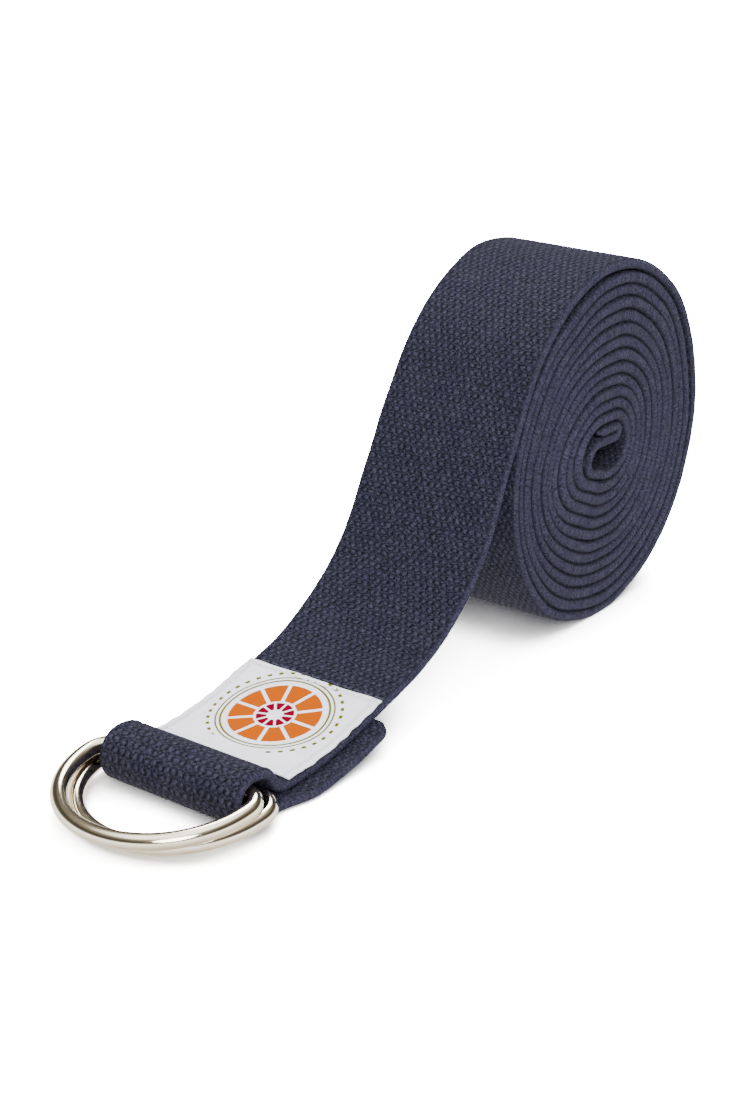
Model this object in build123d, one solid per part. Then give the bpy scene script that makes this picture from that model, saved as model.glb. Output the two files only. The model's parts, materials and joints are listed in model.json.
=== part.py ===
from build123d import *
import os
from math import cos, sin, pi, radians, degrees, asin, atan2, hypot, sqrt

os.makedirs("parts", exist_ok=True)

# ---------------------------------------------------------------- dimensions (mm)
web_w = 38.0            # webbing width, along Y
web_t = 2.4             # webbing thickness
pitch = 3.0             # spacing of the turns in the roll
turns = 12              # full turns wound round the folded core
core_r = 7.5            # centreline radius of the first wound half turn
core_half = 3.0         # half length of the flat in the first turn
flat_loss = 0.25        # how much of that flat is lost on every turn
outer_r = 44.5          # centreline radius of the last, looser half turn
fold_r = 1.35           # centreline radius of the hemmed fold at the free end
hem_len = 8.0           # straight part of the hem
first_r = 4.6           # centreline radius of the very first half turn

tail_r = 43.8           # tail peeling off the roll
tail_fall = 62.5        # steepest slope of the tail, degrees
tail_run = 31.12
sag_r = 58.0            # tail sweeping out along the floor
lay_slope = 14.0        # slope of the sewn run, degrees
land_r = 80.0           # gentle landing radius of the sewn run
layer_gap = 0.15        # between the two sewn layers

loop_r = 4.95           # rounded nose of the loop
crest_r = 9.5           # back of the loop over the bars
loop_len = 12.3         # length of the loop from nose centre to throat
throat_flat = 2.8

wire_d = 3.6            # D-ring wire
ring_in = 40.0          # inside width of a D-ring
ring_corner = 5.4       # centreline corner radius
bar_gap = 0.3           # bar clear of the webbing
stack_x = 4.6           # upper ring set ahead of the lower one
stack_z = 3.2           # and above it

label_t = 0.35
label_w = 37.4
label_gap = 0.05
thread_d = 0.45
stitch_len = 2.1
stitch_pitch = 2.9

half_t = web_t / 2
half_w = web_w / 2
wire_r = wire_d / 2


# ---------------------------------------------------------------- side-profile pen
class Pen:
    """Draws a run of tangent lines and arcs in the side view (x along the part, z up)."""

    def __init__(self, x, z, heading):
        self.x = x
        self.z = z
        self.a = heading
        self.runs = []

    def line(self, length):
        if length < 1e-6:
            return self
        start = (self.x, self.z, self.a)
        self.x += length * cos(radians(self.a))
        self.z += length * sin(radians(self.a))
        self.runs.append(("line", start, length, 0.0))
        return self

    def arc(self, radius, turn):
        start = (self.x, self.z, self.a)
        self.x, self.z = arc_point(start, radius, turn)
        self.a += turn
        self.runs.append(("arc", start, radius, turn))
        return self


def left_of(point, offset):
    x, z, a = point
    return (x - offset * sin(radians(a)), z + offset * cos(radians(a)))


def arc_point(start, radius, turn):
    side = 1 if turn > 0 else -1
    cx, cz = left_of(start, side * radius)
    a = radians(start[2] + turn)
    return (cx + side * radius * sin(a), cz - side * radius * cos(a))


def side_edges(runs, offset):
    """Edges of one side of the strip, offset to the left of the pen."""
    edges = []
    for kind, start, size, turn in runs:
        x, z, a = start
        p0 = left_of(start, offset)
        if kind == "line":
            end = (x + size * cos(radians(a)), z + size * sin(radians(a)), a)
            p1 = left_of(end, offset)
            edges.append(Edge.make_line((p0[0], 0, p0[1]), (p1[0], 0, p1[1])))
            continue
        pts = []
        for share in (0.5, 1.0):
            ex, ez = arc_point(start, size, turn * share)
            pts.append(left_of((ex, ez, a + turn * share), offset))
        pm, p1 = pts
        edges.append(Edge.make_three_point_arc((p0[0], 0, p0[1]), (pm[0], 0, pm[1]), (p1[0], 0, p1[1])))
    return edges


def strip(pen, low, high, width, y_mid=0.0):
    """Solid strip between two offsets of a pen line, centred on y_mid."""
    lower = side_edges(pen.runs, low)
    upper = side_edges(pen.runs, high)
    first = Edge.make_line(lower[0] @ 0, upper[0] @ 0)
    last = Edge.make_line(lower[-1] @ 1, upper[-1] @ 1)
    outline = Wire(lower + [last] + upper + [first])
    face = Face(outline)
    solid = extrude(face, amount=width / 2, dir=(0, -1, 0), both=True)
    return Pos(0, y_mid, 0) * solid


# ---------------------------------------------------------------- the webbing's path
roll_left_z = half_t + core_r + pitch / 2 + pitch * (turns - 1)
roll_right_z = roll_left_z + pitch / 2
core_low = roll_right_z - core_r
core_x = -3.9
inner_z = core_low + 2 * first_r

web = Pen(core_x, inner_z + 2 * fold_r, 0)
web.line(hem_len)
hem_end = web.x
web.arc(fold_r, -180)
web.line(hem_end - core_x)
web.arc(first_r, 180)
web.line(core_half - core_x)
for turn in range(turns):
    right_x = core_half - flat_loss * turn
    left_x = -core_half + flat_loss * turn
    next_x = core_half - flat_loss * (turn + 1)
    web.arc(core_r + pitch * turn, 180)
    web.line(right_x - left_x)
    web.arc(core_r + pitch / 2 + pitch * turn, 180)
    if turn < turns - 1:
        web.line(next_x - left_x)
web.line(0.5 - web.x)
web.arc(outer_r, 180)

web.arc(tail_r, tail_fall)
web.line(tail_run)
web.arc(sag_r, -(tail_fall - lay_slope))

lie_z = web_t + layer_gap + half_t
drop = web.z - lie_z - land_r * (1 - cos(radians(lay_slope)))
lay_run = drop / sin(radians(lay_slope))
lay_start = (web.x, web.z)
web.line(lay_run)
land_start = (web.x, web.z)
web.arc(land_r, -lay_slope)
web.line(throat_flat)
throat_x = web.x

crest_z = half_t + 2 * loop_r
rise = crest_z - lie_z
swing = degrees(2 * atan2(rise, loop_len))
valley_r = loop_len / sin(radians(swing)) - crest_r
web.arc(valley_r, -swing)
web.arc(crest_r, swing)
nose_x = web.x
web.arc(loop_r, 180)
web.line(throat_x + throat_flat - nose_x)
web.arc(land_r + web_t + layer_gap, lay_slope)
under_run = 9.0
web.line(under_run)
under_end = (web.x, web.z)

webbing = strip(web, -half_t, half_t, web_w)

# the tucked-under end is cut with rounded corners
corner = 4.0
for side in (-1, 1):
    block = Pos(corner / 2, side * corner / 2, 0) * Box(corner, corner, 3.2)
    block -= Cylinder(corner, 6)
    place = Pos(under_end[0], side * half_w, under_end[1]) * Rot(0, -lay_slope, 0)
    webbing -= place * Pos(-corner, -side * corner, 0) * block

# seam line pressed into the underside, where the label's bobbin thread lies
seam_y = label_w / 2 - 1.6
label_start = 2.7
under = Pen(throat_x + 0.6, half_t, 0)
under.line(throat_flat - 0.6)
under.arc(land_r + web_t + layer_gap, lay_slope)
under.line(7.4)
for side in (-1, 1):
    webbing -= strip(under, -half_t - 0.2, -half_t + thread_d + 0.1, 0.9, side * seam_y)

# ---------------------------------------------------------------- label
slope = radians(lay_slope)
top = Pen(lay_start[0] - label_start * cos(slope), lay_start[1] - label_start * sin(slope), 180 + lay_slope)
top.line(lay_run - label_start)
top.arc(land_r, -lay_slope)
top.line(2.5)
# the upper face is on the pen's right-hand side as it travels towards the rings
label = strip(top, -half_t - label_gap - label_t, -half_t - label_gap, label_w)


# ---------------------------------------------------------------- stitches
def along(pen, distance):
    """Pen position after a distance along its runs."""
    left = distance
    for kind, start, size, turn in pen.runs:
        length = size if kind == "line" else abs(radians(turn)) * size
        if left <= length:
            if kind == "line":
                a = radians(start[2])
                return (start[0] + left * cos(a), start[1] + left * sin(a), start[2])
            part = turn * left / length
            ex, ez = arc_point(start, size, part)
            return (ex, ez, start[2] + part)
        left -= length
    return None


def run_length(pen):
    total = 0.0
    for kind, start, size, turn in pen.runs:
        total += size if kind == "line" else abs(radians(turn)) * size
    return total


def stitch(point, offset, y, length, across):
    """One visible stitch: a short thread laid on the surface."""
    x, z = left_of(point, offset)
    body = Cylinder(thread_d / 2, length)
    if across:
        return Pos(x, y, z) * Rot(90, 0, 0) * body
    return Pos(x, y, z) * Rot(0, 90 - point[2], 0) * body


def long_row(pen, offset, y, margin):
    out = []
    total = run_length(pen) - 2 * margin
    count = int(total // stitch_pitch)
    for n in range(count):
        d = margin + (n + 0.5) * total / count
        out.append(stitch(along(pen, d), offset, y, stitch_len, False))
    return out


def cross_row(pen, distance, offset, span):
    out = []
    count = int(span // stitch_pitch)
    for n in range(count):
        y = -span / 2 + (n + 0.5) * span / count
        out.append(stitch(along(pen, distance), offset, y, stitch_len, True))
    return out


lift = thread_d / 2 + 0.02
label_top = -half_t - label_gap - label_t - lift
needle = []
for side in (-1, 1):
    needle += long_row(top, label_top, side * seam_y, 0.9)
label_len = run_length(top)
needle += cross_row(top, 1.2, label_top, 2 * seam_y - 3)

bobbin = []
for side in (-1, 1):
    bobbin += long_row(under, -half_t + lift, side * seam_y, 0.9)

# loop seam: one row across, just past the label, holding the tucked-under end
seam_at = run_length(under) + 0.6
seam_pen = Pen(under.x, under.z, lay_slope)
seam_pen.line(2.0)
upper_pen = Pen(lay_start[0], lay_start[1], 180 + lay_slope)
upper_pen.line(lay_run)
seam_from_start = label_start - 0.75
loop_needle = cross_row(upper_pen, seam_from_start, -half_t - lift, web_w - 3)
seam_x = along(upper_pen, seam_from_start)[0]
tail_pen = Pen(under_end[0] - under_run * cos(slope), under_end[1] - under_run * sin(slope), lay_slope)
tail_pen.line(under_run)
seam_d = (seam_x - tail_pen.runs[0][1][0]) / cos(slope)
seam_d = min(seam_d, under_run - 1.0)
loop_bobbin = cross_row(tail_pen, seam_d, -half_t - lift, web_w - 9)

# hem at the rolled-in free end
hem = Pen(core_x, inner_z + 2 * fold_r, 0)
hem.line(hem_len)
hem_back = Pen(core_x, inner_z, 0)
hem_back.line(hem_len)
hem_needle = cross_row(hem, 1.8, half_t + lift, web_w - 3)
hem_bobbin = cross_row(hem_back, 1.8, -half_t - lift, web_w - 3)


# ---------------------------------------------------------------- D-rings
def d_ring():
    """Straight bar on the origin along Y, bow towards -X, made of one bent wire."""
    w = ring_in / 2 + wire_r
    disc = Circle(wire_r)
    bar_half = w - ring_corner
    ring = Rot(90, 0, 0) * Cylinder(wire_r, 2 * bar_half)
    bow_face = Pos(-ring_corner, -w, 0) * (Plane.YZ * disc)
    bow = revolve(bow_face, Axis((-ring_corner, 0, 0), (0, 0, 1)), -180)
    ring += bow
    for side in (-1, 1):
        face = Pos(0, side * bar_half, 0) * (Plane.XZ * disc)
        ring += revolve(face, Axis((-ring_corner, side * bar_half, 0), (0, 0, 1)), side * 90)
    return ring


ring_depth = ring_corner + ring_in / 2 + wire_r
lower_z = web_t + bar_gap + wire_r
lower_x = nose_x - 0.2 + stack_x
tilt = degrees(asin((lower_z - wire_r - 0.02) / ring_depth))
flat_ring = d_ring()
lower_ring = Pos(lower_x, 0, lower_z) * Rot(0, -tilt, 0) * flat_ring
upper_ring = Pos(lower_x - stack_x, 0, lower_z + stack_z) * Rot(0, -tilt, 0) * flat_ring

# the edges of the cloth are rounded away where the rings' corners turn past them
relief = revolve(Polygon((0, 17.4), (2.08, 17.4), (2.14, 17.6), (2.64, 18.5), (3.25, 19.3), (0, 19.3), align=None), Axis.Y, 360)
for bar_x, bar_z in ((lower_x, lower_z), (lower_x - stack_x, lower_z + stack_z)):
    webbing -= Pos(bar_x, 0, bar_z) * relief
    webbing -= Pos(bar_x, 0, bar_z) * Rot(0, 0, 180) * relief

# ---------------------------------------------------------------- into the shared frame
nodes = {
    "webbing": webbing,
    "lower_d_ring": lower_ring,
    "upper_d_ring": upper_ring,
    "label": label,
    "label_needle_thread": Compound(children=needle),
    "label_bobbin_thread": Compound(children=bobbin),
    "loop_needle_thread": Compound(children=loop_needle),
    "loop_bobbin_thread": Compound(children=loop_bobbin),
    "hem_needle_thread": Compound(children=hem_needle),
    "hem_bobbin_thread": Compound(children=hem_bobbin),
}
boxes = [shape.bounding_box() for shape in nodes.values()]
low_x = min(b.min.X for b in boxes)
high_x = max(b.max.X for b in boxes)
low_z = min(b.min.Z for b in boxes)
shift = Pos(-(low_x + high_x) / 2, 0, -low_z)
for name, shape in nodes.items():
    export_step(shift * shape, f"parts/{name}.step")
    b = (shift * shape).bounding_box()
    print(name, [round(v, 2) for v in (b.min.X, b.min.Y, b.min.Z, b.max.X, b.max.Y, b.max.Z)])
print("shift", round(-(low_x + high_x) / 2, 3), "low", round(low_z, 3), "length", round(run_length(web), 1))
print("lower bar", round(lower_x - (low_x + high_x) / 2, 3), round(lower_z - low_z, 3), "tilt", round(tilt, 3))
print("throat", round(throat_x - (low_x + high_x) / 2, 3), "nose", round(nose_x - (low_x + high_x) / 2, 3))
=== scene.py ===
import json
from math import asin, atan2, cos, degrees, exp, hypot, pi, radians, sin, sqrt

import bmesh
import bpy
from mathutils import Matrix, Vector, noise


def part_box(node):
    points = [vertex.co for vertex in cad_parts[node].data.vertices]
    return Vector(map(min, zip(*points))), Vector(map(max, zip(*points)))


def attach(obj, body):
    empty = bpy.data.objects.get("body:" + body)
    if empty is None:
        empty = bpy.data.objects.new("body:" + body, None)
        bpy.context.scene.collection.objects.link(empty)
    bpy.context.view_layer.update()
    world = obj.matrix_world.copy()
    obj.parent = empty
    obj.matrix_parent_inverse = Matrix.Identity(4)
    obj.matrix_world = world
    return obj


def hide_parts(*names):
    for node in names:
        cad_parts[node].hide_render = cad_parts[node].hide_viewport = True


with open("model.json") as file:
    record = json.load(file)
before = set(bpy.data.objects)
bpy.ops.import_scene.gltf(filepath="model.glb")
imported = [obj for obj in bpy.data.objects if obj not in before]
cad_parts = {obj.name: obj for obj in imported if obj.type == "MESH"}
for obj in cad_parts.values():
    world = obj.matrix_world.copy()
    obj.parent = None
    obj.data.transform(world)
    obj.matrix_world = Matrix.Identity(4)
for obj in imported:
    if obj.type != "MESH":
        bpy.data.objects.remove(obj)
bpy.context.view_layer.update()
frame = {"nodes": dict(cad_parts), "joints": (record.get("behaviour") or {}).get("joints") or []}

MM = 0.001

# ---------------------------------------------------------------- sizes (mm), as the CAD has them
WEB_W = 38.0
WEB_T = 2.4
PITCH = 3.0
TURNS = 12
CORE_R = 7.5
CORE_HALF = 3.0
FLAT_LOSS = 0.25
OUTER_R = 44.5
FOLD_R = 1.35
HEM_LEN = 8.0
FIRST_R = 4.6
CORE_X = -3.9
TAIL_R = 43.8
TAIL_FALL = 62.5
TAIL_RUN = 31.12
SAG_R = 58.0
LAY_SLOPE = 14.0
LAND_R = 80.0
LAYER_GAP = 0.15
LOOP_R = 4.95
CREST_R = 9.5
LOOP_LEN = 12.3
THROAT_FLAT = 2.8
UNDER_RUN = 9.0
END_CORNER = 4.0
WIRE_D = 3.6
RING_IN = 40.0
RING_CORNER = 5.4
BAR_Z = 4.5             # lower ring's bar above the floor
FLOOR_GAP = 0.02
LABEL_T = 0.35
LABEL_W = 37.4
LABEL_START = 2.7
SEAM_Y = LABEL_W / 2 - 1.6
END_SEAM = 1.2          # the label's seam across its roll-side end
EMBLEM_S = 14.5         # middle of the printed roundel, from the label's roll-side end

# ---------------------------------------------------------------- how the soft cloth differs from its solid (mm)
CLOTH_T = 2.62          # full thickness of the loose cloth
WOUND_SWELL = 0.24      # more in the roll, where it fills the space between turns
SEWN_PRESS = 0.2        # less where it is sewn double
EDGE_Y = 16.6           # the shallow furrow beside each woven edge
SEWN_LEAN = 1.3         # sideways set of the sewn run
UNDER_LEAN = -2.6       # and of the end tucked under it
LABEL_LIFT = 0.17       # label's underside above the cloth
WEAVE_ACROSS = 1.8      # repeat of the weave
WEAVE_ALONG = 1.72
EDGE_RIB = 1.05

# ---------------------------------------------------------------- view and light (degrees, mm, m, W)
VIEW_AZIMUTH, VIEW_ELEVATION, VIEW_ROLL = -53.681, 21.473, 0.344
VIEW_PLACE = (-0.32969, -0.23232, 0.18896)
LENS, SENSOR = 60.39, 36
FLOOR_SIZE, WALL_R, WALL_H = 7.0, 3.4, 4.0
AIM = (0, 0, 0.03)
WORLD_STRENGTH = 1.36
# brightness of the world by height: 0 straight down, 0.5 level, 1 straight up
WORLD_LEVELS = [(0.0, 0.9), (0.5, 2.3), (0.54, 1.0), (0.58, 0.14),
                (0.74, 0.06), (0.88, 0.36), (0.95, 2.5), (1.0, 3.1)]


# ---------------------------------------------------------------- the strap's side line
class Line:
    """The side line of the strap in straight runs and bends: length, turn in degrees (+ to the left)."""

    def __init__(self, x, z, heading):
        self.at = (x, z, heading)
        self.runs = []
        self.length = 0.0

    def run(self, length):
        if length > 1e-6:
            self.add(length, 0.0)
        return self

    def bend(self, radius, turn):
        self.add(radius * abs(radians(turn)), turn)
        return self

    def add(self, length, turn):
        self.runs.append((self.length, length, turn, self.at))
        self.at = step(self.at, length, turn, length)
        self.length += length

    def point(self, s):
        """x, z and heading in degrees at a distance along the line."""
        for start, length, turn, at in self.runs:
            if s <= start + length:
                return step(at, length, turn, max(0.0, s - start))
        return self.at

    def bend_at(self, s):
        """Turn per mm at a distance along the line."""
        for start, length, turn, at in self.runs:
            if s <= start + length:
                return turn / length
        return 0.0


def step(at, length, turn, part):
    x, z, a = at
    if abs(turn) < 1e-9:
        return (x + part * cos(radians(a)), z + part * sin(radians(a)), a)
    side = 1 if turn > 0 else -1
    radius = length / abs(radians(turn))
    b = a + turn * part / length
    cx, cz = x - side * radius * sin(radians(a)), z + side * radius * cos(radians(a))
    return (cx + side * radius * sin(radians(b)), cz - side * radius * cos(radians(b)), b)


roll_left_z = WEB_T / 2 + CORE_R + PITCH / 2 + PITCH * (TURNS - 1)
inner_z = roll_left_z + PITCH / 2 - CORE_R + 2 * FIRST_R

web = Line(CORE_X, inner_z + 2 * FOLD_R, 0)
web.run(HEM_LEN)
hem_end_x = web.at[0]
web.bend(FOLD_R, -180).run(hem_end_x - CORE_X)
web.bend(FIRST_R, 180).run(CORE_HALF - CORE_X)
for turn in range(TURNS):
    right_x = CORE_HALF - FLAT_LOSS * turn
    web.bend(CORE_R + PITCH * turn, 180).run(2 * right_x)
    web.bend(CORE_R + PITCH / 2 + PITCH * turn, 180)
    if turn < TURNS - 1:
        web.run(2 * right_x - FLAT_LOSS)
web.run(0.5 - web.at[0])
loose_s = web.length
web.bend(OUTER_R, 180)
tail_s = web.length
web.bend(TAIL_R, TAIL_FALL).run(TAIL_RUN).bend(SAG_R, LAY_SLOPE - TAIL_FALL)
lie_z = WEB_T + LAYER_GAP + WEB_T / 2
lay_run = (web.at[1] - lie_z - LAND_R * (1 - cos(radians(LAY_SLOPE)))) / sin(radians(LAY_SLOPE))
lay_s = web.length
web.run(lay_run).bend(LAND_R, -LAY_SLOPE).run(THROAT_FLAT)
throat_s = web.length
throat_x = web.at[0]
rise = WEB_T / 2 + 2 * LOOP_R - lie_z
swing = degrees(2 * atan2(rise, LOOP_LEN))
web.bend(LOOP_LEN / sin(radians(swing)) - CREST_R, -swing).bend(CREST_R, swing)
nose_x = web.at[0]
nose_s = web.length
web.bend(LOOP_R, 180).run(throat_x + THROAT_FLAT - nose_x)
under_s = web.length
web.bend(LAND_R + WEB_T + LAYER_GAP, LAY_SLOPE).run(UNDER_RUN)
end_s = web.length

# the line is drawn about the roll; its nose and the CAD webbing's end give the shift along X
shift_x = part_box("webbing")[0].x / MM - (nose_x - LOOP_R - WEB_T / 2)
roll_x = shift_x + 0.2
roll_z = roll_left_z + 0.6


def smooth(low, high, x):
    t = min(1.0, max(0.0, (x - low) / (high - low)))
    return t * t * (3 - 2 * t)


# ---------------------------------------------------------------- shader helpers
class Val:
    """A number running through a material, so that its maths can be written as sums."""

    def __init__(self, finish, socket):
        self.finish = finish
        self.socket = socket

    def maths(self, operation, *values):
        numbers = {n: v for n, v in enumerate(values)}
        return self.finish.node("ShaderNodeMath", {"operation": operation}, numbers)

    def __add__(self, other):
        return self.maths("ADD", self, other)

    def __radd__(self, other):
        return self.maths("ADD", other, self)

    def __sub__(self, other):
        return self.maths("SUBTRACT", self, other)

    def __rsub__(self, other):
        return self.maths("SUBTRACT", other, self)

    def __mul__(self, other):
        return self.maths("MULTIPLY", self, other)

    def __rmul__(self, other):
        return self.maths("MULTIPLY", other, self)

    def __truediv__(self, other):
        return self.maths("DIVIDE", self, other)

    def __pow__(self, other):
        return self.maths("POWER", self, other)

    def floor(self):
        return self.maths("FLOOR", self)

    def fract(self):
        return self.maths("FRACT", self)

    def size(self):
        return self.maths("ABSOLUTE", self)

    def rem(self, other):
        return self.maths("FLOORED_MODULO", self, other)

    def root(self):
        return self.maths("SQRT", self)

    def least(self, other):
        return self.maths("MINIMUM", self, other)

    def most(self, other):
        return self.maths("MAXIMUM", self, other)

    def angle(self, other):
        return self.maths("ARCTAN2", self, other)

    def ease(self, low, high):
        """0 below low, 1 above high, smooth between."""
        inputs = {"Value": self, "From Min": low, "From Max": high, "To Min": 0.0, "To Max": 1.0}
        return self.finish.node("ShaderNodeMapRange", {"interpolation_type": "SMOOTHSTEP"}, inputs)


class Finish:
    """One procedural material: a Principled shader with its fixed settings, and nodes added to it."""

    def __init__(self, name, **settings):
        self.material = bpy.data.materials.new(name)
        self.material.use_nodes = True
        self.tree = self.material.node_tree
        self.tree.nodes.clear()
        self.shader = self.tree.nodes.new("ShaderNodeBsdfPrincipled")
        out = self.tree.nodes.new("ShaderNodeOutputMaterial")
        self.tree.links.new(self.shader.outputs[0], out.inputs["Surface"])
        for key, value in settings.items():
            self.shader.inputs[key.replace("_", " ").title().replace("Ior", "IOR")].default_value = value

    def node(self, kind, settings=None, inputs=None, out=0):
        made = self.tree.nodes.new(kind)
        for key, value in (settings or {}).items():
            if key == "stops":
                ramp = made.color_ramp
                while len(ramp.elements) < len(value):
                    ramp.elements.new(0.5)
                for element, (place, colour) in zip(ramp.elements, value):
                    element.position = place
                    element.color = (*colour, 1.0)
            else:
                setattr(made, key, value)
        for key, value in (inputs or {}).items():
            socket = made.inputs[key]
            if isinstance(value, Val):
                self.tree.links.new(value.socket, socket)
            else:
                socket.default_value = value
        return Val(self, made.outputs[out])

    def uv(self):
        """The piece's own map: across and along the cloth, in mm."""
        spot = self.node("ShaderNodeUVMap", {"uv_map": "cloth"})
        parts = self.tree.nodes.new("ShaderNodeSeparateXYZ")
        self.tree.links.new(spot.socket, parts.inputs[0])
        return Val(self, parts.outputs[0]) * 1000.0, Val(self, parts.outputs[1]) * 1000.0

    def place(self):
        return self.node("ShaderNodeTexCoord", out=3)

    def join(self, x, y, z=0.0):
        return self.node("ShaderNodeCombineXYZ", None, {0: x, 1: y, 2: z})

    def grain(self, where, scale, detail=2.0, rough=0.5, out=0):
        inputs = {"Vector": where, "Scale": scale, "Detail": detail, "Roughness": rough}
        return self.node("ShaderNodeTexNoise", None, inputs, out)

    def speck(self, where):
        """A random number for each whole-numbered cell."""
        return self.node("ShaderNodeTexWhiteNoise", {"noise_dimensions": "2D"}, {"Vector": where})

    def mix(self, share, first, second):
        a = first if isinstance(first, Val) else (*first, 1.0)
        b = second if isinstance(second, Val) else (*second, 1.0)
        return self.node("ShaderNodeMix", {"data_type": "RGBA"}, {0: share, 6: a, 7: b}, 2)

    def tint(self, colour, amount):
        """A colour made darker or lighter by a number."""
        level = self.join(amount, amount, amount)
        settings = {"data_type": "RGBA", "blend_type": "MULTIPLY"}
        return self.node("ShaderNodeMix", settings, {0: 1.0, 6: colour, 7: level}, 2)

    def feed(self, **links):
        for key, value in links.items():
            self.tree.links.new(value.socket, self.shader.inputs[key.replace("_", " ").title()])
        return self.material

    def bump(self, height, depth, strength=1.0):
        """Normal from a height of 0 to 1; depth in metres."""
        return self.node("ShaderNodeBump", None, {"Height": height, "Distance": depth, "Strength": strength})


# ---------------------------------------------------------------- finishes
def cotton_webbing():
    """Navy cotton webbing: staggered pillow-like bumps on the faces, soft fuzz on the woven edges."""
    f = Finish("navy_cotton_webbing", roughness=0.95, specular_ior_level=0.08,
               sheen_weight=0.05, sheen_roughness=0.6, sheen_tint=(0.5, 0.52, 0.7, 1.0))
    across, along = f.uv()
    flat = f.join(across, along)
    wander = f.grain(flat, 0.45, 4.0, 0.6) - 0.5
    drift = f.grain(f.join(along, across, 7.0), 0.45, 4.0, 0.6) - 0.5
    row = along / WEAVE_ALONG + drift * 1.0
    lane = row.floor()
    column = across / WEAVE_ACROSS + wander * 1.0 + lane.rem(2.0) * 0.5
    # the warp floats, and the weft floats half a repeat away from them
    a = column.fract()
    b = row.fract()
    hump = (a * (1 - a) * 4.0) * (b * (1 - b) * 4.0)
    c = (column + 0.5).fract()
    weft = (c * (1 - c) * 4.0) * ((b - 0.5).size() * 2.0).ease(0.15, 1.0)
    crest = (hump ** 1.45).most((weft ** 1.3) * 0.85)
    luck = f.speck(f.join(column.floor(), lane))
    fuzz = f.grain(flat, 2.1, 3.0, 0.8)
    clump = f.grain(flat, 1.1, 3.0, 0.6)
    strands = f.grain(f.join(across * 3.0, along * 1.3, 3.0), 1.0, 3.0, 0.7)
    face = crest * 0.70 + strands * 0.35 + clump * 0.45 + fuzz * 0.2

    # the woven edges: ribbed and felted
    edge = across.size().ease(17.75, 18.5)
    rib = (along / EDGE_RIB + (f.grain(flat, 1.2, 1.0) - 0.5) * 1.2).fract()
    rib = rib * (1 - rib) * 4.0
    felt = f.grain(f.join(across * 1.3, along * 1.7, 1.0), 1.2, 4.0, 0.85)
    rim = rib * 0.2 + felt * 1.5
    height = face * (1 - edge) + rim * edge

    navy = f.mix(f.grain(flat, 0.16, 3.0).ease(0.35, 0.68), (0.0244, 0.0230, 0.0458), (0.0292, 0.0280, 0.0495))
    # painted glint: pale flecks on the fuzz and strands stand in for loose fibres catching the light
    pale = (fuzz.ease(0.56, 0.74) * 0.8 + strands.ease(0.56, 0.72) * 0.3).least(1.0) * 0.6
    navy = f.mix(pale, navy, (0.060, 0.060, 0.088))
    # painted shade: the bump crests are painted lighter and the gaps between them darker; the cell, fuzz and
    # clump terms are the cloth's own uneven tone
    shade_face = -0.02 + crest * 1.28 + (luck - 0.5) * 0.2 + (fuzz - 0.5) * 3.4 + (clump - 0.5) * 1.6
    # on the woven edges the felt and fuzz terms are the cloth's own uneven tone, and the rib crests are painted
    # lighter: painted shade
    shade_rim = 1.44 + (felt - 0.5) * 8.5 + (rib - 0.5) * 0.25 + (fuzz - 0.5) * 2.6
    # painted shade in the furrow between each face and its woven edge
    groove_shade = 0.30 + 0.70 * across.size().ease(18.0, 19.1)
    shade = (shade_face * (1 - edge) + shade_rim * groove_shade * edge).most(0.05)
    colour = f.tint(navy, shade)
    return f.feed(base_color=colour, normal=f.bump(height, 0.00075, 1.0))


def nickel():
    """Polished nickel plate with faint polishing marks and a trace of wear."""
    f = Finish("polished_nickel", metallic=1.0)
    where = f.place()
    smear = f.grain(where, 220.0, 3.0, 0.6)
    fine = f.grain(where, 1600.0, 2.0)
    colour = f.mix(smear.ease(0.35, 0.7), (0.74, 0.66, 0.50), (0.83, 0.76, 0.61))
    rough = 0.06 + smear * 0.09 + fine * 0.03
    return f.feed(base_color=colour, roughness=rough, normal=f.bump(smear * 0.7 + fine * 0.3, 0.00003, 0.35))


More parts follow.
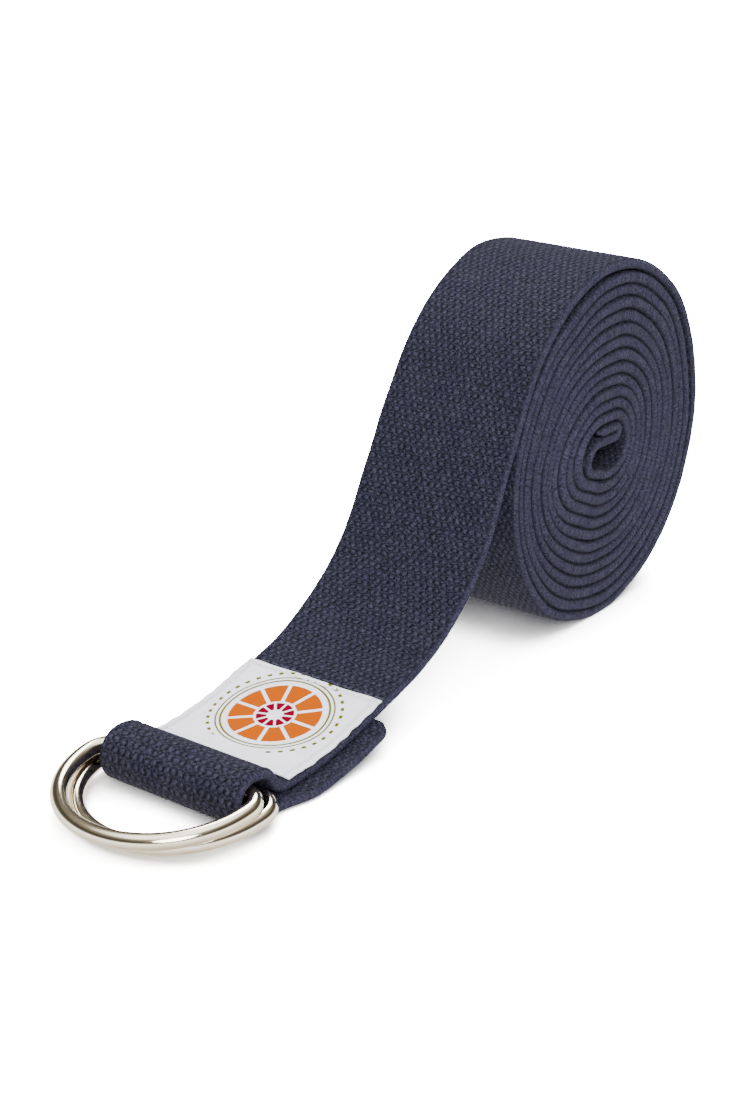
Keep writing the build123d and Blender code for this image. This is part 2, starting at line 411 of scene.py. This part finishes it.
def satin_label():
    """White satin ribbon printed with a plain tiled roundel."""
    f = Finish("white_satin_label", specular_ior_level=0.0)
    across, along = f.uv()
    flat = f.join(across, along)
    dy = along - EMBLEM_S
    reach = (across * across + dy * dy).root() + (f.grain(flat, 3.0, 2.0) - 0.5) * 0.12
    turn = dy.angle(across)

    def band(low, high, soft=0.09):
        return reach.ease(low - soft, low + soft) * (1 - reach.ease(high - soft, high + soft))

    def tiles(count, gap, offset=0.0):
        """1 inside each of count equal tiles, 0 in the straight gaps between them."""
        part = (turn * (count / (2 * pi)) + offset).fract()
        side = (0.5 - (part - 0.5).size()) * reach * (2 * pi / count)
        return side.ease(gap - 0.08, gap + 0.08)

    orange = band(4.9, 10.6) * tiles(10, 0.42)
    crimson = band(1.9, 4.3) * tiles(10, 0.26, 0.5)
    ring = band(12.0, 12.5).most(band(13.1, 13.5))
    dots = band(14.6, 15.4) * tiles(36, 0.75, 0.25)
    olive = ring.most(dots * (1 - dy.ease(13.0, 13.6)))
    weft = (along / 0.32).fract()
    warp = (across / 0.32 + (along / 0.32).floor() * 0.5).fract()
    satin = (weft * (1 - weft) * 4.0) * 0.5 + (warp * (1 - warp) * 4.0) * 0.5
    cloud = f.grain(flat, 0.25, 3.0)
    white = f.mix(cloud.ease(0.3, 0.7), (0.86, 0.87, 0.96), (0.91, 0.92, 0.99))
    colour = f.mix(olive, white, (0.115, 0.105, 0.006))
    colour = f.mix(orange, colour, (0.42, 0.078, 0.0))
    colour = f.mix(crimson, colour, (0.18, 0.0, 0.014))
    # painted shadow: the label is darkened in narrow lines along the side seams and the end seam
    beside = (across.size() - SEAM_Y).size().ease(0.2, 1.0)
    clear_of_seam_shadow = beside.least((along - END_SEAM).size().ease(0.2, 1.0))
    # the satin's threads are painted lighter on top and darker between them: painted shade
    colour = f.tint(colour, (0.93 + satin * 0.1) * (0.80 + clear_of_seam_shadow * 0.20))
    print_rough = orange.most(crimson) * 0.1
    rough = 0.42 + cloud * 0.16 + print_rough
    return f.feed(base_color=colour, roughness=rough, normal=f.bump(satin, 0.00004, 0.6))


def sewing_thread(name, light, dark):
    f = Finish(name, roughness=0.7, specular_ior_level=0.3, sheen_weight=0.1)
    where = f.place()
    twist = f.grain(where, 4200.0, 2.0, 0.6)
    return f.feed(base_color=f.mix(twist.ease(0.35, 0.65), dark, light), normal=f.bump(twist, 0.00008, 0.6))


def pale_floor():
    f = Finish("pale_floor", roughness=0.9, specular_ior_level=0.05)
    tone = f.grain(f.place(), 3.0, 1.0)
    bright = f.mix(tone, (11.6, 11.6, 11.6), (12.0, 12.0, 12.0))
    # painted contact shadow: the floor's colour drops from about 12 to 1 where ambient occlusion finds the
    # object within 16 mm above it
    contact_shadow_ao = f.node("ShaderNodeAmbientOcclusion", {"samples": 12}, {"Distance": 0.016}, 1)
    return f.feed(base_color=f.mix(contact_shadow_ao.ease(0.28, 0.86), (1.0, 1.0, 1.0), bright))


# ---------------------------------------------------------------- mesh helpers
def finish_piece(obj, material, body):
    obj.data.materials.clear()
    obj.data.materials.append(material)
    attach(obj, body)
    return obj


def cloth_object(name, rows, cols, vertex, mapped):
    """Rings of points made into a closed mesh, with the map 'cloth' in metres: across and along."""
    bm = bmesh.new()
    grid = [[bm.verts.new(vertex(r, c)) for c in range(cols)] for r in range(rows)]
    layer = bm.loops.layers.uv.new("cloth")
    place = {}
    for r in range(rows):
        for c in range(cols):
            place[grid[r][c]] = mapped(r, c)
    for r in range(rows - 1):
        for c in range(cols):
            d = (c + 1) % cols
            bm.faces.new((grid[r][c], grid[r][d], grid[r + 1][d], grid[r + 1][c]))
    bm.faces.new(list(reversed(grid[0])))
    bm.faces.new(grid[-1])
    bmesh.ops.recalc_face_normals(bm, faces=bm.faces)
    for face in bm.faces:
        face.smooth = True
        for loop in face.loops:
            loop[layer].uv = place[loop.vert]
    mesh = bpy.data.meshes.new(name)
    bm.to_mesh(mesh)
    bm.free()
    obj = bpy.data.objects.new(name, mesh)
    bpy.context.scene.collection.objects.link(obj)
    return obj


# ---------------------------------------------------------------- webbing
def section():
    """Outline of the cloth across its width, (y, height above the middle) in mm, with full, rounded edges."""
    half_w, half_t = WEB_W / 2, CLOTH_T / 2
    top = []
    for y in (-17.3, -16.6, -15.6, -13.0, -9.0, -4.5, 0.0, 4.5, 9.0, 13.0, 15.6, 16.6, 17.3):
        dip = 0.12 * (1 - smooth(0.0, 0.7, abs(abs(y) - EDGE_Y)))
        top.append((y, half_t - dip))
    side = []
    for n in range(9):
        a = radians(90 - 180 * n / 8)
        side.append((half_w - half_t * 1.02 + half_t * 1.02 * cos(a), half_t * 1.03 * sin(a)))
    left = [(-y, h) for y, h in reversed(side)]
    bottom = [(y, -h) for y, h in reversed(top)]
    return top + side + bottom + left


def stations():
    """Distances along the strap where its section is placed, closer together in tight bends."""
    out = [0.0]
    while out[-1] < web.length - 0.4:
        s = out[-1]
        bend = abs(web.bend_at(s + 0.4))
        gap = min(2.1, 9.0 / bend if bend > 1e-6 else 2.1)
        if s > throat_s - 12:
            gap = min(gap, 1.0)
        out.append(min(web.length, s + max(0.35, gap)))
    if out[-1] < web.length:
        out[-1] = web.length
    return out


def turn_offset(s):
    """Each turn sits a little to one side of the one below it."""
    fade = 1 - smooth(tail_s, tail_s + 45, s)
    slow = 0.62 * noise.noise(Vector((s / 150.0, 3.1, 0.7)))
    quick = 0.34 * noise.noise(Vector((s / 34.0, 9.3, 2.2)))
    return (slow + quick) * fade


def thickness(s):
    """The cloth fills the space between the turns of the roll and is pressed where it is sewn double."""
    wound = smooth(40, 60, s) * (1 - smooth(loose_s - 60, loose_s, s))
    return CLOTH_T + WOUND_SWELL * wound - SEWN_PRESS * smooth(tail_s + 20, lay_s, s)


def between(table, x):
    """A value read from a short list of places and values, eased between them."""
    for (x0, v0), (x1, v1) in zip(table, table[1:]):
        if x <= x1:
            return v0 + (v1 - v0) * smooth(x0, x1, x)
    return table[-1][1]


def angle_apart(a, b):
    return abs((a - b + 180) % 360 - 180)


# how far the turns on the roll's left are squeezed outward, by their distance from its middle (mm)
SQUEEZE = [(0, 0), (8.5, 0), (15, 3.0), (22, 4.5), (30, 3.3), (36, 1.9), (44, 0)]


def settle(s, x, z):
    """The roll is wound unevenly: loose by the left of its core, tight at its outer left and at its top."""
    dx, dz = x - roll_x, z - roll_z
    r = hypot(dx, dz)
    if r < 0.01:
        return x, z
    f = degrees(atan2(dz, dx))
    inner = 1 - smooth(tail_s - 25, tail_s + 25, s)
    push = between(SQUEEZE, r) * exp(-(angle_apart(f, 185) / 38) ** 2)
    push -= 2.1 * max(0.0, 1 - r / 44) * exp(-(angle_apart(f, 228) / 25) ** 2)
    wound = 1 - smooth(loose_s - 12, loose_s + 12, s)
    push += 1.8 * (r / 41) ** 2 * exp(-(angle_apart(f, 68) / 40) ** 2) * wound
    push += 0.55 * min(1.0, r / 12) * noise.noise(Vector((x / 14.0, z / 14.0, 5.5)))
    push *= inner
    round_roll = 1 - smooth(loose_s + 60, tail_s, s)
    push += 1.15 * (r / 44) ** 2 * exp(-(angle_apart(f, -40) / 40) ** 2) * round_roll
    return x + push * dx / r, z + push * dz / r


def drape(s, y, x, z):
    """The tail hangs with a slight twist, and the far side of the roll's crest sits a little high."""
    far = (y + 19) / 38
    lower = smooth(tail_s + 62, tail_s + 88, s) * (1 - smooth(tail_s + 104, tail_s + 128, s))
    upper = smooth(tail_s + 4, tail_s + 20, s) * (1 - smooth(tail_s + 36, tail_s + 56, s))
    middle = smooth(tail_s + 48, tail_s + 60, s) * (1 - smooth(tail_s + 72, tail_s + 90, s))
    out = lower * (-0.9 + 1.7 * far) - upper * 0.6 * far + middle * 0.9 * far
    crest = 0.6 * far * smooth(loose_s + 30, loose_s + 100, s) * (1 - smooth(tail_s, tail_s + 30, s))
    a = web.point(s)[2]
    return x + out * sin(radians(a)), z - out * cos(radians(a)) + crest


def lean(s):
    """Sideways set (mm): the sewn run drifts one way and the end tucked under it the other."""
    upper = SEWN_LEAN * smooth(tail_s + 75, lay_s + 12, s) * (1 - smooth(throat_s + 6, nose_s - 2, s))
    under = UNDER_LEAN * smooth(under_s - 10, under_s + 3, s)
    return upper + under


def cloth_point(s, y, h):
    x, z, a = web.point(s)
    nx, nz = -sin(radians(a)), cos(radians(a))
    x += shift_x + nx * h
    z += nz * h
    if s < tail_s + 150:
        x, z = settle(s, x, z)
        x, z = drape(s, y, x, z)
    return x, y + lean(s), z


def round_end(s, y):
    """Width left at the cut ends, whose corners are rounded."""
    d = min(s, end_s - s)
    corner = END_CORNER if s > 100 else 0.8
    if d >= corner:
        return y
    lose = corner - sqrt(max(0.0, corner * corner - (corner - d) ** 2))
    return y * (1 - lose / (WEB_W / 2))


def make_webbing():
    outline = section()
    marks = stations()

    def spread(y, h):
        """Distance over the cloth from its middle line, across its face and round its edge."""
        half_t = CLOTH_T / 2
        inner = WEB_W / 2 - half_t
        if abs(y) <= inner:
            return y
        side = 1 if y > 0 else -1
        return side * (inner + half_t * atan2(abs(y) - inner, max(1e-6, abs(h))))

    def vertex(r, c):
        s = marks[r]
        y, h = outline[c]
        fall = 1.0
        d = min(s, end_s - s)
        if d < 1.2:
            fall = 0.45 + 0.55 * sqrt(max(0.0, 1 - (1 - d / 1.2) ** 2))
        h *= thickness(s) / CLOTH_T
        bump = noise.noise(Vector((s / 9.0, y / 8.0, h))) * 0.05 * h
        edge = smooth(15.5, 19.0, abs(y))
        wave = 0.16 * edge * noise.noise(Vector((s / 14.0, 2.0 if y > 0 else 6.0, 4.4)))
        side = turn_offset(s) + 0.10 * edge * noise.noise(Vector((s / 2.2, y, 1.7)))
        px, py, pz = cloth_point(s, round_end(s, y) + side, h * fall + bump + wave)
        return Vector((px, py, pz)) * MM

    def mapped(r, c):
        y, h = outline[c]
        return (spread(y, h) * MM, marks[r] * MM)

    obj = cloth_object("webbing_strap", len(marks), len(outline), vertex, mapped)
    floor_level(obj)
    return obj


def floor_level(obj):
    """Cloth that touches the floor is pressed flat on it."""
    for v in obj.data.vertices:
        if v.co.z < FLOOR_GAP * MM:
            v.co.z = FLOOR_GAP * MM


# ---------------------------------------------------------------- label
label_len = lay_run - LABEL_START + LAND_R * radians(LAY_SLOPE) + 2.5


def make_label():
    """Satin ribbon laid on the sewn run, rippled along its sewn edges."""
    nu, nv = 75, 49
    base = thickness(end_s) / 2 + LABEL_LIFT

    def level(u, v):
        y = (v / (nv - 1) - 0.5) * LABEL_W
        d = u / (nu - 1) * label_len
        edge = smooth(13.0, 18.4, abs(y))
        ripple = 0.20 * edge * noise.noise(Vector((d / 2.6, 1.5 if y > 0 else 7.5, 0.3)))
        swell = 0.22 * (1 - edge) * noise.noise(Vector((d / 9.0, y / 11.0, 2.9)))
        return y, d, base + ripple * 0.8 + swell

    def vertex(r, c):
        side = c >= nv
        v = c if not side else 2 * nv - 1 - c
        y, d, h = level(r, v)
        rim = 0.34 * noise.noise(Vector((d / 2.4, 11.0 if y > 0 else 19.0, 1.0)))
        rim *= smooth(16.5, 18.6, abs(y))
        slant = 0.35 * noise.noise(Vector((y / 6.0, 3.0, 8.0))) if r == 0 else 0.0
        s = lay_s + LABEL_START + d + slant
        x, z, a = web.point(s)
        lift = -(h + (LABEL_T if not side else 0.0))
        nx, nz = -sin(radians(a)), cos(radians(a))
        return Vector((x + shift_x + nx * lift, y + rim + lean(s), z + nz * lift)) * MM

    def mapped(r, c):
        v = c if c < nv else 2 * nv - 1 - c
        y, d, h = level(r, v)
        return (y * MM, d * MM)

    return cloth_object("satin_label", nu, 2 * nv, vertex, mapped)


# ---------------------------------------------------------------- by-hand pieces
def clear_selection():
    bpy.ops.object.select_all(action="DESELECT")


def make_ring(name):
    """D-ring of one bent wire: its round section is spun and drawn out along the D, as by hand."""
    clear_selection()
    wire_r = WIRE_D / 2 * MM
    side_y = (RING_IN + WIRE_D) / 2 * MM
    corner = RING_CORNER * MM
    bar_half = side_y - corner
    bpy.ops.mesh.primitive_circle_add(vertices=32, radius=wire_r, location=(0, -bar_half, 0),
                                      rotation=(pi / 2, 0, 0))
    ring = bpy.context.object
    ring.name = name
    bpy.ops.object.transform_apply(location=True, rotation=True, scale=True)
    bpy.ops.object.mode_set(mode="EDIT")
    bpy.ops.mesh.select_all(action="SELECT")
    # the bar in short lengths, with a slight weld bead at its middle, then the corners and the bow
    for n in range(12):
        bpy.ops.mesh.extrude_region_move(TRANSFORM_OT_translate={"value": (0, 2 * bar_half / 12, 0)})
        if n in (4, 5, 6):
            size = 1.05 if n == 5 else 1.03 / 1.05 if n == 6 else 1.0
            bpy.ops.transform.resize(value=(size, 1, size))
        if n == 7:
            bpy.ops.transform.resize(value=(1 / 1.03, 1, 1 / 1.03))
    bpy.ops.mesh.spin(steps=14, angle=pi / 2, center=(-corner, bar_half, 0), axis=(0, 0, -1))
    bpy.ops.mesh.spin(steps=64, angle=pi, center=(-corner, 0, 0), axis=(0, 0, -1))
    bpy.ops.mesh.spin(steps=14, angle=pi / 2, center=(-corner, -bar_half, 0), axis=(0, 0, -1))
    bpy.ops.mesh.select_all(action="SELECT")
    bpy.ops.mesh.remove_doubles(threshold=0.00001)
    bpy.ops.mesh.normals_make_consistent(inside=False)
    bpy.ops.object.mode_set(mode="OBJECT")
    bpy.ops.object.shade_smooth()
    return ring


def set_ring(ring, joint, node):
    """Puts a flat D-ring on its hinge, its bow resting low."""
    pos = [j for j in frame["joints"] if j["name"] == joint][0]["pos_m"]
    depth = (RING_CORNER + RING_IN / 2 + WIRE_D / 2) * MM
    tilt = asin((BAR_Z - WIRE_D / 2 - FLOOR_GAP) * MM / depth)
    ring.rotation_euler = (0, -tilt, 0)
    ring.location = pos
    clear_selection()
    ring.select_set(True)
    bpy.context.view_layer.objects.active = ring
    bpy.ops.object.transform_apply(location=True, rotation=True, scale=True)
    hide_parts(node)


def make_stitch(name, length, thick):
    """One stitch: a short thread, plump in the middle, whose ends dive into the cloth."""
    clear_selection()
    bpy.ops.mesh.primitive_cylinder_add(vertices=8, radius=thick / 2, depth=length, end_fill_type="NGON")
    stitch = bpy.context.object
    stitch.name = name
    bpy.ops.object.mode_set(mode="EDIT")
    bpy.ops.mesh.select_all(action="SELECT")
    bpy.ops.mesh.bisect(plane_co=(0, 0, length * 0.3), plane_no=(0, 0, 1))
    bpy.ops.mesh.select_all(action="SELECT")
    bpy.ops.mesh.bisect(plane_co=(0, 0, -length * 0.3), plane_no=(0, 0, 1))
    bpy.ops.object.mode_set(mode="OBJECT")
    for v in stitch.data.vertices:
        if abs(v.co.z) > length * 0.45:
            v.co.x *= 0.6
            v.co.y = v.co.y * 0.6 - thick * 0.5
    for p in stitch.data.polygons:
        p.use_smooth = True
    return stitch


def sew(name, length, thick, spots):
    """Copies one stitch to each spot: (place in mm, direction of the thread, outward direction)."""
    first = make_stitch(name, length * MM, thick * MM)
    copies = []
    for place, thread, out in spots:
        copy = first.copy()
        copy.data = first.data.copy()
        bpy.context.scene.collection.objects.link(copy)
        z = Vector(thread).normalized()
        y = Vector(out).normalized()
        x = y.cross(z)
        copy.data.transform(Matrix.Translation(Vector(place) * MM) @ Matrix((x, y, z)).transposed().to_4x4())
        copies.append(copy)
    bpy.data.objects.remove(first)
    clear_selection()
    for copy in copies:
        copy.select_set(True)
    bpy.context.view_layer.objects.active = copies[0]
    bpy.ops.object.join()
    row = bpy.context.object
    row.name = name
    return row


def row_spots(from_s, to_s, y, height, count, jitter=0.0):
    """Stitches in a row along the strap."""
    spots = []
    for n in range(count):
        s = from_s + (n + 0.5) * (to_s - from_s) / count
        x, z, a = web.point(s)
        side = -1 if height < 0 else 1
        nx, nz = -sin(radians(a)), cos(radians(a))
        wob = jitter * noise.noise(Vector((n * 1.7, y, 0.5)))
        spots.append(((x + shift_x + nx * height, y + wob + lean(s), z + nz * height),
                      (cos(radians(a)), wob * 0.3, sin(radians(a))), (side * nx, 0, side * nz)))
    return spots


def cross_spots(s, span, height, count):
    """Stitches in a row across the strap."""
    x, z, a = web.point(s)
    side = -1 if height < 0 else 1
    nx, nz = -sin(radians(a)), cos(radians(a))
    return [((x + shift_x + nx * height, -span / 2 + (n + 0.5) * span / count + lean(s), z + nz * height),
             (0, 1, 0), (side * nx, 0, side * nz)) for n in range(count)]


# ---------------------------------------------------------------- camera
def set_camera():
    azimuth, elevation, roll = radians(VIEW_AZIMUTH), radians(VIEW_ELEVATION), radians(VIEW_ROLL)
    back = Vector((sin(azimuth) * cos(elevation), -cos(azimuth) * cos(elevation), sin(elevation)))
    right = Vector((cos(azimuth), sin(azimuth), 0))
    up = back.cross(right)
    tilted_right = right * cos(roll) + up * sin(roll)
    tilted_up = up * cos(roll) - right * sin(roll)
    data = bpy.data.cameras.new("camera")
    data.lens = LENS
    data.sensor_width = SENSOR
    cam = bpy.data.objects.new("camera", data)
    bpy.context.scene.collection.objects.link(cam)
    turned = Matrix((tilted_right, tilted_up, back)).transposed().to_4x4()
    cam.matrix_world = Matrix.Translation(VIEW_PLACE) @ turned
    data.clip_start = 0.01
    bpy.context.scene.camera = cam


def soft_light(name, place, size, power):
    data = bpy.data.lights.new(name, "AREA")
    data.shape = "DISK"
    data.size = size
    data.energy = power
    light = bpy.data.objects.new(name, data)
    light.location = place
    light.rotation_euler = (Vector(AIM) - Vector(place)).to_track_quat("-Z", "Y").to_euler()
    bpy.context.scene.collection.objects.link(light)


def studio():
    clear_selection()
    bpy.ops.mesh.primitive_plane_add(size=FLOOR_SIZE)
    ground = bpy.context.object
    ground.name = "floor"
    ground.data.materials.append(pale_floor())
    # the floor catches light and shadow but throws none back: the world below does that evenly
    ground.visible_diffuse = False
    ground.visible_glossy = False
    # a pale wall all round, seen only by the camera
    clear_selection()
    bpy.ops.mesh.primitive_cylinder_add(vertices=96, radius=WALL_R, depth=WALL_H, end_fill_type="NOTHING",
                                        location=(0, 0, WALL_H / 2))
    wall = bpy.context.object
    wall.name = "backdrop"
    wall.data.materials.append(pale_floor())
    wall.visible_diffuse = False
    wall.visible_glossy = False
    wall.visible_shadow = False
    world = bpy.data.worlds.new("studio")
    bpy.context.scene.world = world
    world.use_nodes = True
    nodes, links = world.node_tree.nodes, world.node_tree.links
    nodes.clear()
    out = nodes.new("ShaderNodeOutputWorld")
    back = nodes.new("ShaderNodeBackground")
    back.inputs["Strength"].default_value = WORLD_STRENGTH
    where = nodes.new("ShaderNodeTexCoord")
    parts = nodes.new("ShaderNodeSeparateXYZ")
    ramp = nodes.new("ShaderNodeValToRGB")
    while len(ramp.color_ramp.elements) < len(WORLD_LEVELS):
        ramp.color_ramp.elements.new(0.5)
    for element, (place, level) in zip(ramp.color_ramp.elements, WORLD_LEVELS):
        element.position = place
        # the darker parts are brownish
        green, blue = (0.9, 0.75) if level < 1 else (1.0, 1.0)
        element.color = (level, level * green, level * blue, 1.0)
    links.new(where.outputs["Generated"], parts.inputs[0])
    half = nodes.new("ShaderNodeMath")
    half.operation = "MULTIPLY_ADD"
    half.inputs[1].default_value = 0.5
    half.inputs[2].default_value = 0.5
    links.new(parts.outputs["Z"], half.inputs[0])
    links.new(half.outputs[0], ramp.inputs["Fac"])
    links.new(ramp.outputs["Color"], back.inputs["Color"])
    links.new(back.outputs[0], out.inputs[0])
    soft_light("key", (1.3, 0.7, 1.7), 1.2, 48.0)
    soft_light("fill", (-1.6, -1.5, 1.4), 1.6, 92.0)


# ---------------------------------------------------------------- assembly
set_camera()
studio()

cotton = cotton_webbing()
strap = finish_piece(make_webbing(), cotton, "strap")
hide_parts("webbing")

label = finish_piece(make_label(), satin_label(), "strap")
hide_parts("label")
label_len * MM

plate = nickel()
lower = make_ring("lower_ring_wire")
set_ring(lower, "lower_ring_swing", "lower_d_ring")
finish_piece(lower, plate, "lower_ring")
upper = make_ring("upper_ring_wire")
set_ring(upper, "upper_ring_swing", "upper_d_ring")
finish_piece(upper, plate, "upper_ring")

white_thread = sewing_thread("white_thread", (0.96, 0.96, 0.97), (0.74, 0.74, 0.78))
navy_thread = sewing_thread("navy_thread", (0.04, 0.042, 0.075), (0.018, 0.018, 0.035))
on_label = -(thickness(end_s) / 2 + LABEL_LIFT + LABEL_T + 0.12)
label_s = lay_s + LABEL_START
spots = []
for side in (-1, 1):
    spots += row_spots(label_s + 0.9, label_s + label_len - 0.9, side * SEAM_Y, on_label, 14, 0.5)
spots += cross_spots(label_s + END_SEAM, 2 * SEAM_Y - 3, on_label, 15)
edge_sewing = sew("label_edge_stitches", 1.6, 0.5, spots)
finish_piece(edge_sewing, white_thread, "strap")
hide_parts("label_needle_thread")

for name, finish in (("label_bobbin_thread", white_thread), ("loop_needle_thread", navy_thread),
                     ("loop_bobbin_thread", navy_thread), ("hem_needle_thread", navy_thread),
                     ("hem_bobbin_thread", navy_thread)):
    part = frame["nodes"][name]
    part.data.materials.clear()
    part.data.materials.append(finish)
